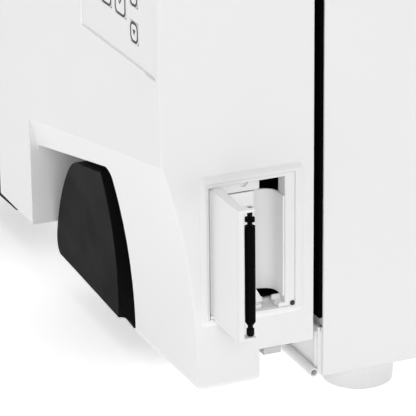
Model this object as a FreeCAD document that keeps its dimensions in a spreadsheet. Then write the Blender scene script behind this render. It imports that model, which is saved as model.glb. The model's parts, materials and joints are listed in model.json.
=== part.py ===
import FreeCAD, Part
import math
import os
import Sketcher

# Benchtop steam autoclave with a full-width swinging door, millimetres, +Z up.
# Places are given in a working frame with X = 0 on the right side, Y = 0 on the flat
# upper front and Z = 0 on the table. corner_x and corner_y move that corner so that the
# document's origin is the bottom centre of everything, the open printer flap included.

doc = FreeCAD.newDocument("BenchtopAutoclave")
sheet = doc.addObject("Spreadsheet::Sheet", "Dims")
Vec = FreeCAD.Vector

DRIVING = {
    # whole machine
    "corner_x": 230.6, "corner_y": -300.0, "case_w": 500.0, "case_top": 420.0,
    "foot_high": 16.0, "foot_rad": 21.0, "hem_rad": 2.7, "case_front": 99.2, "case_back": 586.0, "sheet_t": 1.5,
    # door shell
    "door_deep": 93.1, "wall_t": 3.0, "leg_low": 20.3, "side_low": 40.5, "tongue_low": 48.5,
    "leg_wide": 90.2, "leg_back": 59.2, "notch_wide": 128.5, "notch_high": 129.6,
    "notch_drop": 27.5, "notch_deep": 64.0, "scoop_rad": 413.0, "scoop_deep": 20.3,
    "scoop_mid": 30.3, "scoop_fall": 10.0, "scoop_fade": 2.0,
    # hinge and door swing
    "hinge_in": 18.0, "hinge_deep": 45.0, "pin_rad": 5.0, "arm_high": 30.0, "arm_wide": 26.0,
    "arm_low_z": 104.0, "arm_top_z": 330.0,
    # pressure vessel
    "vessel_z": 238.0, "vessel_rad": 125.0, "vessel_t": 3.0, "vessel_long": 345.0,
    "disc_rad": 133.0, "flange_rad": 150.0,
    # handle
    "paddle_z": 117.0, "paddle_y": 33.0, "paddle_pin": 3.0, "paddle_low": 23.8,
    "paddle_top": 118.8, "paddle_right": -112.0, "paddle_back": 34.0, "paddle_face": 16.0,
    "paddle_curve": 383.0, "groove_rad": 10.5,
    # printer
    "frame_y": 23.9, "frame_z": 62.1, "frame_wide": 60.6, "frame_high": 87.2,
    "flap_pin_y": 30.3, "flap_pin_in": 0.3, "flap_long": 37.9, "flap_low": 65.3, "flap_high": 78.4,
    "platen_rad": 3.0, "platen_out": 34.4, "platen_fwd": 7.6, "platen_long": 58.4,
    "bracket_long": 5.6, "bucket_high": 60.9,
    "frame_proud": 1.2, "frame_slope": 2.6,
    # rounded edges
    "corner_round": 1.6, "edge_round": 0.8, "leg_round": 4.5,
    # keypad
    "pad_left": 117.9, "pad_right": 6.0, "pad_low": 209.6, "pad_high": 130.0, "pad_sink": 0.8,
    "pad_slope": 1.5,
    # fits
    "run_gap": 0.05,
}

for row, (alias, value) in enumerate(DRIVING.items(), start=1):
    sheet.set(f"A{row}", alias)
    sheet.set(f"B{row}", str(value))
    sheet.setAlias(f"B{row}", alias)
doc.recompute()


class Size:
    """A length from the sheet, or one worked out from such lengths, with its expression."""

    def __init__(self, text, value):
        self.text = text
        self.value = value

    def __float__(self):
        return float(self.value)

    def __add__(self, other):
        return Size(f"({self.text} + {text_of(other)})", self.value + float(other))

    def __sub__(self, other):
        return Size(f"({self.text} - {text_of(other)})", self.value - float(other))

    def __mul__(self, other):
        return Size(f"({self.text} * {text_of(other)})", self.value * float(other))

    def __truediv__(self, other):
        return Size(f"({self.text} / {text_of(other)})", self.value / float(other))

    def __radd__(self, other):
        return Size(f"({text_of(other)} + {self.text})", float(other) + self.value)

    def __rsub__(self, other):
        return Size(f"({text_of(other)} - {self.text})", float(other) - self.value)

    def __rmul__(self, other):
        return Size(f"({text_of(other)} * {self.text})", float(other) * self.value)

    def __neg__(self):
        return Size(f"(0 - {self.text})", -self.value)


def text_of(size):
    if isinstance(size, Size):
        return size.text
    return f"({float(size)!r})"


def dim(alias):
    return Size("Dims." + alias, DRIVING[alias])


TURN = {
    "z": FreeCAD.Rotation(),
    "x": FreeCAD.Rotation(Vec(0, 1, 0), 90),
    "y": FreeCAD.Rotation(Vec(1, 0, 0), -90),
    # sketch outline seen in the named plane, extruded towards the letter given
    "front": FreeCAD.Rotation(Vec(1, 0, 0), 90),
    "side": FreeCAD.Rotation(Vec(1, 1, 1), 120),
}
nodes = []


def bind(obj, prop, size):
    obj.setExpression(prop, text_of(size))


def place(obj, at, turn="z"):
    """Put an object at a point of the working frame."""
    obj.Placement = FreeCAD.Placement(Vec(), TURN[turn])
    for letter, corner, value in zip("xyz", (dim("corner_x"), dim("corner_y"), 0.0), at):
        bind(obj, f"Placement.Base.{letter}", corner + value)
    return obj


def box(name, size, at):
    obj = doc.addObject("Part::Box", name)
    for prop, value in zip(("Length", "Width", "Height"), size):
        bind(obj, prop, value)
    return place(obj, at)


def rod(name, radius, length, at, turn="z"):
    obj = doc.addObject("Part::Cylinder", name)
    bind(obj, "Radius", radius)
    bind(obj, "Height", length)
    return place(obj, at, turn)


def taper(name, low_rad, top_rad, length, at, turn="z"):
    obj = doc.addObject("Part::Cone", name)
    bind(obj, "Radius1", low_rad)
    bind(obj, "Radius2", top_rad)
    bind(obj, "Height", length)
    return place(obj, at, turn)


def torus(name, big, small, at, turn="z"):
    obj = doc.addObject("Part::Torus", name)
    bind(obj, "Radius1", big)
    bind(obj, "Radius2", small)
    return place(obj, at, turn)


def join(name, *parts):
    obj = doc.addObject("Part::MultiFuse", name)
    obj.Shapes = list(parts)
    return obj


def cut(name, base, *tools):
    obj = doc.addObject("Part::Cut", name)
    obj.Base = base
    obj.Tool = tools[0] if len(tools) == 1 else join(name + "_tools", *tools)
    return obj


def group(name, *parts):
    obj = doc.addObject("Part::Compound", name)
    obj.Links = list(parts)
    return obj


def tube(name, outer, inner, length, at, turn="z"):
    bore_at = list(at)
    letter = {"x": 0, "y": 1, "z": 2}[turn]
    bore_at[letter] = at[letter] - 1.0
    outside = rod(name + "_outside", outer, length, at, turn)
    bore = rod(name + "_bore", inner, length + 2.0, bore_at, turn)
    return cut(name, outside, bore)


def rounded(name, base, radius, chosen):
    """Fillet the edges of a base for which chosen(edge) is true."""
    doc.recompute()
    obj = doc.addObject("Part::Fillet", name)
    obj.Base = base
    edges = enumerate(base.Shape.Edges, start=1)
    obj.Edges = [(i, float(radius), float(radius)) for i, edge in edges if chosen(edge)]
    return obj


def along(letter):
    """A test for straight edges that run along one axis."""
    axis = {"x": Vec(1, 0, 0), "y": Vec(0, 1, 0), "z": Vec(0, 0, 1)}[letter]

    def test(edge):
        if edge.Curve.TypeId != "Part::GeomLine":
            return False
        return abs(edge.Curve.Direction.dot(axis)) > 0.999

    return test


def sketched_body(name, points, at, turn):
    """A body with one closed, dimensioned polygon on its XY plane; all points positive or 0."""
    body = doc.addObject("PartDesign::Body", name)
    sketch = body.newObject("Sketcher::SketchObject", name + "_sketch")
    plane = next(f for f in body.Origin.OriginFeatures if f.Role == "XY_Plane")
    sketch.AttachmentSupport = (plane, [""])
    sketch.MapMode = "FlatFace"
    flat = [Vec(float(x), float(y), 0) for x, y in points]
    for start, end in zip(flat, flat[1:] + flat[:1]):
        sketch.addGeometry(Part.LineSegment(start, end), False)
    for i in range(len(flat)):
        sketch.addConstraint(Sketcher.Constraint("Coincident", i, 2, (i + 1) % len(flat), 1))
    for i, point in enumerate(points):
        for kind, onto, value in (("DistanceX", -2, point[0]), ("DistanceY", -1, point[1])):
            if float(value) == 0.0:
                sketch.addConstraint(Sketcher.Constraint("PointOnObject", i, 1, onto))
                continue
            new = Sketcher.Constraint(kind, -1, 1, i, 1, float(value))
            index = sketch.addConstraint(new)
            if isinstance(value, Size):
                sketch.setExpression(f"Constraints[{index}]", value.text)
    place(body, at, turn)
    return body, sketch


def plate(name, points, thick, at, turn="z"):
    """A polygon padded to a thickness. turn 'front' pads towards -Y, 'side' towards +X."""
    body, sketch = sketched_body(name, points, at, turn)
    pad = body.newObject("PartDesign::Pad", name + "_pad")
    pad.Profile = sketch
    bind(pad, "Length", thick)
    body.Tip = pad
    return body


def turned(name, points, at, turn):
    """A lathe part: (radius, height) points revolved. Its axis is Y for 'z', Z for 'front'."""
    body, sketch = sketched_body(name, points, at, turn)
    spin = body.newObject("PartDesign::Revolution", name + "_spin")
    spin.Profile = sketch
    spin.ReferenceAxis = (sketch, ["V_Axis"])
    spin.Angle = 360.0
    body.Tip = spin
    return body


def shaped(name, shape):
    """A feature whose shape is made in the working frame from values of the sheet."""
    obj = doc.addObject("Part::Feature", name)
    obj.Shape = shape
    return place(obj, (0.0, 0.0, 0.0))


def node(obj, label):
    obj.Label = label
    nodes.append(obj)
    return obj


# ---------------------------------------------------------------- common places

W = dim("case_w")
MID = -(W / 2.0)
FRONT = dim("case_front")
BACK = dim("case_back")
TOP = dim("case_top")
FOOT = dim("foot_high")
SHEET = dim("sheet_t")
DOOR = dim("door_deep")
WALL = dim("wall_t")
HINGE_X = -(W - dim("hinge_in"))
HINGE_Y = dim("hinge_deep")
VESSEL_Z = dim("vessel_z")


# ---------------------------------------------------------------- door shell

def scoop(side, grow):
    """The concave cut at a lower front corner, a leaning cylinder. side is 0 right, 1 left."""
    rad = DRIVING["scoop_rad"]
    mid = DRIVING["case_w"] / 2.0
    reach = DRIVING["leg_wide"] + DRIVING["notch_wide"]
    share = reach / DRIVING["leg_wide"]
    start = Vec(0, DRIVING["scoop_deep"] - rad, DRIVING["scoop_mid"])
    run = Vec(
        -reach,
        -DRIVING["scoop_fade"] * share,
        -DRIVING["scoop_fall"] * share,
    )
    lead = run * (80.0 / reach)
    cylinder = Part.makeCylinder(rad + grow, run.Length + 160.0, start - lead, run)
    keep = Part.makeBox(reach + grow + 10.0, 60.0, 400.0, Vec(-reach - grow, -20.0, 0.0))
    tool = cylinder.common(keep)
    if side == 1:
        tool = tool.mirror(Vec(-mid, 0, 0), Vec(1, 0, 0))
    return tool


def notch_outline(grow):
    """Corners of the hand notch in X and Z, grown outwards by a wall."""
    right = -DRIVING["leg_wide"] + grow
    left = right - DRIVING["notch_wide"] - 2.0 * grow
    high = DRIVING["notch_high"] + grow
    low = high - DRIVING["notch_drop"]
    return [(right, 0.0), (right, high), (left, low), (left, 0.0)]


def notch(side, grow, front, deep):
    """The notch, or the housing round it, as a prism with its upper corners rounded."""
    points = [Vec(x, front, z) for x, z in notch_outline(grow)]
    face = Part.Face(Part.makePolygon(points + points[:1]))
    solid = face.extrude(Vec(0, deep, 0))
    upper = [
        e for e in solid.Edges
        if abs(e.tangentAt(e.FirstParameter).y) > 0.9 and e.BoundBox.ZMin > 60.0
    ]
    solid = solid.makeFillet(6.0, upper)
    if side == 1:
        solid = solid.mirror(Vec(-DRIVING["case_w"] / 2.0, 0, 0), Vec(1, 0, 0))
    return solid


def slab(x0, x1, y0, y1, z0, z1):
    return Part.makeBox(x1 - x0, y1 - y0, z1 - z0, Vec(x0, y0, z0))


def printer_rim():
    """The raised frame round the printer, its four edges sloping down to the door's side."""
    v = DRIVING
    y0, z0 = v["frame_y"] - 1.1, v["frame_z"] - 1.6
    y1, z1 = v["frame_y"] + v["frame_wide"] + 2.1, v["frame_z"] + v["frame_high"] + 1.5
    rim = slab(-1.0, v["frame_proud"], y0, y1, z0, z1)
    rim = rim.makeFillet(3.6, [e for e in rim.Edges if e.BoundBox.XLength > 1.0])
    crest = [e for e in rim.Edges if e.BoundBox.XMin > v["frame_proud"] - 0.1]
    return rim.makeChamfer(v["frame_proud"] - 0.05, v["frame_slope"], crest)


def soften(shape, radius, chosen):
    """Fillet the edges whose bounding box satisfies chosen(box)."""
    return shape.makeFillet(radius, [e for e in shape.Edges if chosen(e.BoundBox)])


def fascia_shape():
    v = DRIVING
    wide, deep, wall = v["case_w"], v["door_deep"], v["wall_t"]
    low, leg = v["side_low"], v["leg_low"]
    outer = slab(-wide, 0, 0, deep, low, v["case_top"])
    for x0 in (-wide, -v["leg_wide"]):
        outer = outer.fuse(slab(x0, x0 + v["leg_wide"], 0, v["leg_back"], leg, low + 5.0))
    tongue = (-wide + v["leg_wide"] + v["notch_wide"], -v["leg_wide"] - v["notch_wide"])
    outer = outer.cut(slab(tongue[0], tongue[1], -1, deep + 1, 0, v["tongue_low"]))
    outer = outer.removeSplitter()
    crest = [
        e for e in outer.Edges
        if e.BoundBox.YLength > 50.0 and e.BoundBox.ZMin > v["case_top"] - 1.0
    ]
    outer = outer.makeFillet(10.0, crest)
    scoop_top = v["scoop_mid"] + math.sqrt(2.0 * v["scoop_rad"] * v["scoop_deep"])
    hollow = slab(-wide + wall, -wall, wall, deep + 1, scoop_top + 6.0, v["case_top"] - wall)
    hollow = hollow.makeFillet(3.0, [e for e in hollow.Edges
                                     if e.BoundBox.YLength > 50.0
                                     and e.BoundBox.ZMin > v["case_top"] - 4.0])
    lower = slab(-wide + wall, -wall, wall, deep + 1, low + wall, scoop_top + 7.0)
    for side in (0, 1):
        lower = lower.cut(scoop(side, wall))
    hollow = hollow.fuse(lower)
    for x0 in (-wide, -v["leg_wide"]):
        hollow = hollow.fuse(slab(
            x0 + wall, x0 + v["leg_wide"] - wall, v["scoop_deep"] + wall, v["leg_back"] - wall,
            leg + wall, low + wall + 1.0))
    tongue_floor = slab(tongue[0], tongue[1], 0, deep + 2, 0, v["tongue_low"] + wall)
    hollow = hollow.cut(tongue_floor)
    for side in (0, 1):
        hollow = hollow.cut(notch(side, wall, -1.0, v["notch_deep"] + 1.0))
    shell = outer.cut(hollow)
    for side in (0, 1):
        shell = shell.cut(scoop(side, 0.0))
        shell = shell.cut(notch(side, 0.0, -1.0, v["notch_deep"] - wall + 1.0))
    shell = shell.removeSplitter()
    side_faces = (0.0, -wide)

    def on_side(b):
        return b.XLength < 0.1 and min(abs(b.XMax - x) for x in side_faces) < 0.1

    shell = soften(shell, v["corner_round"], lambda b: on_side(b) and b.ZLength > 50.0
                   and b.YMax < 30.0)
    shell = soften(shell, v["edge_round"], lambda b: on_side(b) and b.YMin > deep - 0.1)
    shell = soften(shell, v["edge_round"], lambda b: on_side(b) and abs(b.ZMax - low) < 0.1)
    shell = soften(shell, v["leg_round"], lambda b: b.XLength > 50.0 and b.ZMax < leg + 0.1
                   and abs(b.YMin - v["leg_back"]) < 0.1)
    # the raised rim and the printer's window in it
    shell = shell.fuse(printer_rim())
    y0, z0 = v["frame_y"], v["frame_z"]
    y1, z1 = y0 + v["frame_wide"], z0 + v["frame_high"]
    shell = shell.cut(slab(-6, 3, y0 + 3, y1 - 3.75, z0 + 2.9, z1 - 2.9))
    # seat of the control panel and the opening behind it
    pad = (-v["pad_left"], -v["pad_right"], v["pad_low"], v["pad_low"] + v["pad_high"])
    shell = shell.cut(slab(pad[0], pad[1], -1, v["pad_sink"] + 1.4, pad[2], pad[3]))
    slope = v["pad_slope"]
    seat = slab(pad[0] - slope, pad[1] + 1.0, -1, v["pad_sink"], pad[2] - slope, pad[3] + slope)
    deep_edge = [e for e in seat.Edges if e.BoundBox.YMin > v["pad_sink"] - 0.1]
    shell = shell.cut(seat.makeChamfer(v["pad_sink"] - 0.02, slope, deep_edge))
    shell = shell.cut(slab(pad[0] + 6, pad[1] - 6, -1, 6, pad[2] + 5, pad[3] - 5))
    # slots that let the hinge arms swing out at the left rear
    for z in (v["arm_low_z"], v["arm_top_z"]):
        shell = shell.cut(slab(-wide - 1, -wide + 8, 18, deep + 1, z - 3, z + v["arm_high"] + 3))
    return shell.removeSplitter()


node(shaped("FasciaShape", fascia_shape()), "door_fascia")


# ---------------------------------------------------------------- door inside

back_wide = W - 2.0 * WALL - 0.6
back_panel = box(
    "BackPanel", (back_wide, 2.5, TOP - dim("side_low") - 2.0 * WALL - 14.6),
    (-(W - WALL - 0.3), DOOR - 2.6, dim("side_low") + WALL + 0.3))
back_hole = rod("BackPanelHole", dim("disc_rad") + 6.0, 10.0, (MID, DOOR - 6.0, VESSEL_Z), "y")
arm_slots = [
    box(f"BackPanelSlot{i}", (52.0, 12.0, dim("arm_high") + 6.0), (-(W + 2.0), DOOR - 8.0, z - 3.0))
    for i, z in enumerate((dim("arm_low_z"), dim("arm_top_z")))
]
lock_holes = [
    rod(f"BackPanelLockHole{i}", 9.5, 12.0, (x, DOOR - 7.0, TOP - 30.0), "y")
    for i, x in enumerate((MID - 175.0, MID + 175.0))
]
tongue_relief = box(
    "BackPanelRelief", (70.0, 12.0, 13.0), (MID - 35.0, DOOR - 8.0, dim("side_low")))
node(cut("BackCover", back_panel, back_hole, tongue_relief, *arm_slots, *lock_holes),
     "door_back_cover")

# The disc that closes the vessel: a dished plate with a rim and a hub towards the beam.
disc_y = DOOR - 6.6
node(turned("PressureDisc", [
    (0.0, 0.0), (19.9, 0.0), (19.9, 17.5), (40.0, 21.0), (dim("disc_rad") - 12.0, 21.0),
    (dim("disc_rad") - 12.0, 18.0), (dim("disc_rad"), 18.0), (dim("disc_rad"), 25.7),
    (dim("disc_rad") - 4.0, 25.7), (dim("disc_rad") - 4.0, 23.9), (dim("disc_rad") - 9.0, 23.9),
    (dim("disc_rad") - 9.0, 25.7), (0.0, 25.7),
], (MID, disc_y - 17.5, VESSEL_Z), "z"), "pressure_disc")
node(tube("SealRing", dim("disc_rad") - 4.1, dim("disc_rad") - 8.9, 2.2,
          (MID, disc_y + 6.45, VESSEL_Z), "y"), "door_seal")

# A steel cross beam carries the disc and the hinge knuckles.
beam = box("BeamBar", (300.0, 14.0, 60.0), (MID - 160.0, DOOR - 24.0, VESSEL_Z - 30.0))
post = box("BeamPost", (26.0, 14.0, 290.0), (MID - 182.0, DOOR - 24.0, VESSEL_Z - 150.0))
knuckles = []
for i, z in enumerate((dim("arm_low_z"), dim("arm_top_z"))):
    for j, dz in enumerate((-15.0, dim("arm_high") + 1.0)):
        lug = box(f"Knuckle{i}{j}", (W - 500.0 + 62.0, DOOR - 24.0 - HINGE_Y + 24.0, 14.0),
                  (HINGE_X - 12.0, HINGE_Y - 12.0, z + dz))
        knuckles.append(lug)
knuckle_bores = [
    rod(f"KnuckleBore{i}", dim("pin_rad") + 0.02, 70.0, (HINGE_X, HINGE_Y, z - 20.0))
    for i, z in enumerate((dim("arm_low_z"), dim("arm_top_z")))
]
left_post = box("HingePost", (24.0, 14.0, 290.0), (HINGE_X + 30.0, DOOR - 24.0, VESSEL_Z - 150.0))
tie = box("BeamTie", (60.0, 14.0, 60.0), (HINGE_X + 30.0, DOOR - 24.0, VESSEL_Z - 30.0))
hub_bore = rod("BeamHubBore", 20.0, 30.0, (MID, DOOR - 30.0, VESSEL_Z), "y")
node(cut("DoorFrame", join("DoorFrameBars", beam, post, left_post, tie, *knuckles),
         hub_bore, *knuckle_bores), "door_frame")
node(group("HingePins", *[
    rod(f"HingePin{i}", dim("pin_rad"), dim("arm_high") + 34.0, (HINGE_X, HINGE_Y, z - 17.0))
    for i, z in enumerate((dim("arm_low_z"), dim("arm_top_z")))
]), "hinge_pins")


# ---------------------------------------------------------------- control panel

pad_low = dim("pad_low")
pad_wide = dim("pad_left") - dim("pad_right")
KEYS = {
    # label: centre from the right side, centre height, width, height
    "back_key": (78.3, 239.8, 16.0, 15.6),
    "ok_key": (56.7, 239.8, 16.6, 16.6),
    "up_key": (36.4, 248.4, 11.6, 12.4),
    "down_key": (36.4, 227.4, 11.6, 12.4),
}
panel = box("PanelPlate", (pad_wide - 0.2, 1.3, dim("pad_high") - 0.2),
            (-dim("pad_left") + 0.1, dim("pad_sink"), pad_low + 0.1))
panel_cut = [
    box("PanelWindow", (84.0, 6.0, 46.0), (-dim("pad_left") + 14.0, -2.0, pad_low + 70.0))]
for label, (x, z, wide, high) in KEYS.items():
    panel_cut.append(box(label + "_hole", (wide + 0.4, 6.0, high + 0.4),
                         (-(x + wide / 2.0 + 0.2), -2.0, z - high / 2.0 - 0.2)))
panel_seat = box("PanelSeat", (pad_wide - 12.4, 3.0, dim("pad_high") - 10.4),
                 (-dim("pad_left") + 6.2, dim("pad_sink") + 1.3, pad_low + 5.2))
panel_seat_hollow = box("PanelSeatHollow", (pad_wide - 18.4, 3.2, dim("pad_high") - 16.4),
                        (-dim("pad_left") + 9.2, dim("pad_sink") + 1.3, pad_low + 8.2))
node(cut("ControlPanel", join("ControlPanelSolid", panel, panel_seat), panel_seat_hollow,
         *panel_cut), "control_panel")
node(box("DisplayGlass", (83.6, 1.0, 45.6),
         (-dim("pad_left") + 14.2, dim("pad_sink") + 0.2, pad_low + 70.2)), "display_window")
node(box("PanelBoard", (pad_wide - 20.0, 1.6, dim("pad_high") - 18.0),
         (-dim("pad_left") + 10.0, 6.0, pad_low + 9.0)), "control_board")
for label, (x, z, wide, high) in KEYS.items():
    cap = box(label + "_cap", (wide, 3.6, high),
              (-(x + wide / 2.0), dim("pad_sink") - 0.25, z - high / 2.0))
    node(rounded(label + "_body", cap, 3.0, along("y")), label)


# ---------------------------------------------------------------- handle

def paddle_shape(side):
    """The D-shaped grip: its face leans and curves like the scoop, a finger groove runs below."""
    v = DRIVING
    right, low = v["paddle_right"], v["paddle_low"]
    edge = [Vec(x, 0, z) for x, z in (
        (-153.5, 111.4), (-162.0, 107.2), (-168.5, 102.6), (-180.5, 91.6), (-193.0, 77.0),
        (-203.0, 62.0), (-209.2, 49.0), (-211.9, 39.0), (-210.8, 33.0), (-206.5, 29.4),
        (-199.0, 27.6))]
    curve = Part.BSplineCurve()
    curve.interpolate(edge)
    top = Vec(right, 0, v["paddle_top"])
    foot = Vec(right, 0, low - 9.0)
    wire = Part.Wire([
        Part.makeLine(top, edge[0]), curve.toShape(), Part.makeLine(edge[-1], foot),
        Part.makeLine(foot, top)])
    solid = Part.Face(wire).extrude(Vec(0, v["paddle_back"], 0))
    rad = v["paddle_curve"]
    start = Vec(right + 60.0, v["paddle_face"] + 1.3 - rad, low + 16.9)
    solid = solid.cut(Part.makeCylinder(rad, 240.0, start, Vec(-200.0, -4.4, -22.2)))
    rad = v["groove_rad"]
    start = Vec(right + 30.0, v["paddle_face"], low - rad - 2.0)
    solid = solid.cut(Part.makeCylinder(rad, 200.0, start, Vec(-200.0, -4.4, 13.3)))
    if side == 1:
        solid = solid.mirror(Vec(-v["case_w"] / 2.0, 0, 0), Vec(1, 0, 0))
    return solid


def grip_shape():
    """The grip with the bore for its pin and a slot for the inner lug."""
    v = DRIVING
    y, z = v["paddle_y"] - 5.0, v["paddle_z"] - 14.0
    solid = paddle_shape(0)
    solid = solid.cut(Part.makeCylinder(v["paddle_pin"] + 0.1, 200.0, Vec(-250.0, y, z),
                                        Vec(1, 0, 0)))
    return solid.cut(slab(-147.2, -140.8, y - 10.0, y + 20.0, z - 12.0, z + 12.0))


node(shaped("GripShape", grip_shape()), "handle_paddle")
pivot_y = dim("paddle_y") - 5.0
pivot_z = dim("paddle_z") - 14.0
node(rod("GripPin", dim("paddle_pin"), 59.7, (-150.0, pivot_y, pivot_z), "x"), "handle_pin")
left_trim = shaped("LeftTrimShape", paddle_shape(1))

# The black liner of each notch. The left one carries a fixed mirror image of the grip, the
# right one the lug that holds the grip's pin.
liners = []
for side in (0, 1):
    outside = notch(side, -0.05, 40.0, DRIVING["notch_deep"] - 43.2)
    below = slab(-DRIVING["case_w"], 0, 0, 100, -10, DRIVING["side_low"] + 1.0)
    liners.append(shaped(f"LinerShape{side}", outside.cut(below)))
lug = box("PinLug", (5.0, 17.0, 14.0), (-98.0, pivot_y - 4.9, pivot_z - 7.0))
inner_lug = box("InnerLug", (5.0, 17.0, 12.0), (-146.5, pivot_y - 4.9, pivot_z - 6.0))
lug_bore = rod("PinLugBore", dim("paddle_pin") + 0.02, 60.0, (-150.0, pivot_y, pivot_z), "x")
right_liner = cut("RightLiner", join("RightLinerSolid", liners[0], lug, inner_lug), lug_bore)
node(group("NotchLiners", right_liner, liners[1], left_trim), "notch_liners")


# ---------------------------------------------------------------- printer in the door's side

FRAME_Y = dim("frame_y")
FRAME_Z = dim("frame_z")
PIN_X = -dim("flap_pin_in")
PIN_Y = dim("flap_pin_y")
house_low = FRAME_Z + 3.0
mouth_y = FRAME_Y + 7.6
mouth_far = FRAME_Y + 50.55
slot_y = FRAME_Y + 38.1
strip_x = -6.4
lip = box("HouseLip", (7.4, 53.65, 81.2), (strip_x, FRAME_Y + 3.1, house_low))
shell = box("HouseShell", (44.8, 60.2, 81.2), (-48.0, FRAME_Y + 3.1, house_low))
room = box("HouseRoom", (37.0, 53.0, 77.8), (-45.0, mouth_y, FRAME_Z + 4.4))
mouth = box("HouseMouth", (10.0, mouth_far - mouth_y, 68.4), (-8.2, mouth_y, FRAME_Z + 5.7))
mouth_step = box("HouseMouthStep", (10.0, mouth_far - slot_y, 76.5), (-8.2, slot_y, FRAME_Z + 5.7))
flap_seat = box("FlapSeat", (2.8, 41.5, 79.5), (-1.6, PIN_Y - 1.4, FRAME_Z + 2.7))
strip_seat = box("StripSeat", (7.8, mouth_far - PIN_Y + 1.4, 8.1), (strip_x, PIN_Y - 1.4, FRAME_Z + 74.1))
pin_groove = box("PinGroove", (4.6, 4.2, 79.5), (-3.4, PIN_Y - 2.3, FRAME_Z + 2.7))
pin_ear = box("PinEar", (4.4, 3.6, 2.1), (-3.4, PIN_Y - 1.8, house_low))
pin_bores = rod("PinBores", 0.79, 84.0, (PIN_X, PIN_Y, house_low - 1.0))
slot_tray = box("SlotTray", (9.2, 11.5, 2.4), (-12.5, FRAME_Y + 35.7, house_low - 2.2))
bracket_slot = box("BracketSlot", (12.0, 8.5, 3.0), (-10.6, FRAME_Y + 37.2, house_low))
knob_slot = box("KnobSlot", (6.0, 5.9, 4.0), (-7.0, FRAME_Y + 38.7, FRAME_Z + 5.7))
catch = rod("CatchPocket", 2.4, 1.4, (strip_x - 1.0, FRAME_Y + 28.6, FRAME_Z + 79.2), "x")
catch_flat = box("CatchFlat", (4.0, 8.0, 4.0), (strip_x - 2.0, FRAME_Y + 24.6, FRAME_Z + 79.6))
light_at = (FRAME_Y + 55.2, FRAME_Z + 4.5)
light_hole = rod("LightHole", 1.45, 8.0, (-5.0, light_at[0], light_at[1]), "x")
opened = cut("HouseOpened", join("HouseSolid", lip, shell, slot_tray), room, mouth, mouth_step, flap_seat,
             strip_seat, pin_groove, cut("CatchCut", catch, catch_flat), light_hole)


def shelf_shape():
    """The inner lip below the bucket, higher at the cover's side."""
    y, z = DRIVING["frame_y"], DRIVING["frame_z"]
    profile = ((33.6, 5.0), (50.3, 5.0), (50.3, 8.9), (38.0, 8.9), (34.7, 14.9), (33.6, 14.9))
    points = [Vec(-5.2, y + a, z + b) for a, b in profile]
    return Part.Face(Part.makePolygon(points + points[:1])).extrude(Vec(1.2, 0, 0))


shelf = shaped("ShelfShape", shelf_shape())
node(cut("PrinterHousing", join("HouseWithEar", opened, pin_ear, shelf), pin_bores,
         bracket_slot, knob_slot), "printer_housing")


def bucket_shape():
    """The paper bucket's wall: a back that turns forward into the mouth's far side."""
    y, z = DRIVING["frame_y"], DRIVING["frame_z"] + 9.5
    inner = [Vec(a, y + b, z) for a, b in (
        (-15.2, 35.5), (-15.2, 39.6), (-14.6, 43.1), (-13.2, 46.3), (-11.0, 48.4), (-8.0, 49.3),
        (-4.0, 49.5), (0.6, 49.5))]
    front = Part.BSplineCurve()
    front.interpolate(inner)
    outer = []
    for i, point in enumerate(inner):
        before, after = inner[max(i - 1, 0)], inner[min(i + 1, len(inner) - 1)]
        run = after.sub(before)
        side = Vec(-run.y, run.x, 0).normalize()
        outer.append(point.add(side))
    back = Part.BSplineCurve()
    back.interpolate(outer)
    wire = Part.Wire([
        front.toShape(), Part.makeLine(inner[-1], outer[-1]), back.toShape(),
        Part.makeLine(outer[0], inner[0])])
    return Part.Face(wire).extrude(Vec(0, 0, DRIVING["bucket_high"]))


# One white moulding: the flat cover beside the flap, its return wall and the paper bucket.
front_cover = box("FrontCover", (1.2, 27.5, 67.9), (-9.2, FRAME_Y + 8.0, FRAME_Z + 4.9))
cover_return = box("CoverReturn", (8.1, 1.0, 60.9), (-16.1, FRAME_Y + 34.5, FRAME_Z + 9.5))
node(join("PaperBucket", shaped("BucketShape", bucket_shape()), front_cover, cover_return),
     "paper_bucket")

# The black chassis behind it holds the motor, the thermal head and the side and floor plates.
cover = box("MechCover", (32.6, 26.2, 67.4), (-43.0, FRAME_Y + 8.2, FRAME_Z + 4.8))
cover_room = box("MechRoom", (28.6, 22.2, 60.0), (-41.0, FRAME_Y + 10.2, FRAME_Z + 7.4))
mech = cut("MechanismCover", cover, cover_room)
back_plate = box("BackPlate", (1.2, 24.0, 75.6), (-44.6, FRAME_Y + 36.2, FRAME_Z + 5.1))
far_plate = box("FarPlate", (34.0, 1.2, 75.6), (-43.4, FRAME_Y + 59.0, FRAME_Z + 5.1))
floor_plate = box("FloorPlate", (30.9, 23.0, 0.9), (-43.4, FRAME_Y + 36.2, FRAME_Z + 5.1))
chassis = join("ChassisPlates", back_plate, far_plate, floor_plate)
head = box("ThermalHead", (3.4, 0.9, 52.0), (-13.6, FRAME_Y + 35.5, FRAME_Z + 16.0))
motor = rod("MotorCan", 7.0, 16.0, (-31.0, FRAME_Y + 20.0, FRAME_Z + 10.0))
motor_shaft = rod("MotorShaft", 0.95, 9.2, (-31.0, FRAME_Y + 20.0, FRAME_Z + 25.9))
node(group("PrintMechanism", mech, chassis, head, join("PrinterMotor", motor, motor_shaft)),
     "print_mechanism")


def gear_shape(x, y, z, teeth, module, thick, bore):
    """A spur gear with straight-sided teeth round a vertical axis."""
    root = module * (teeth - 2.5) / 2.0
    tip = module * (teeth + 1.8) / 2.0
    points = []
    for i in range(teeth):
        for share, rad in ((-0.30, root), (-0.16, tip), (0.16, tip), (0.30, root)):
            angle = 2.0 * math.pi * (i + share) / teeth
            points.append(Vec(x + rad * math.cos(angle), y + rad * math.sin(angle), z))
    face = Part.Face(Part.makePolygon(points + points[:1]))
    solid = face.extrude(Vec(0, 0, thick))
    return solid.cut(Part.makeCylinder(bore, thick + 2.0, Vec(x, y, z - 1.0)))


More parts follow.
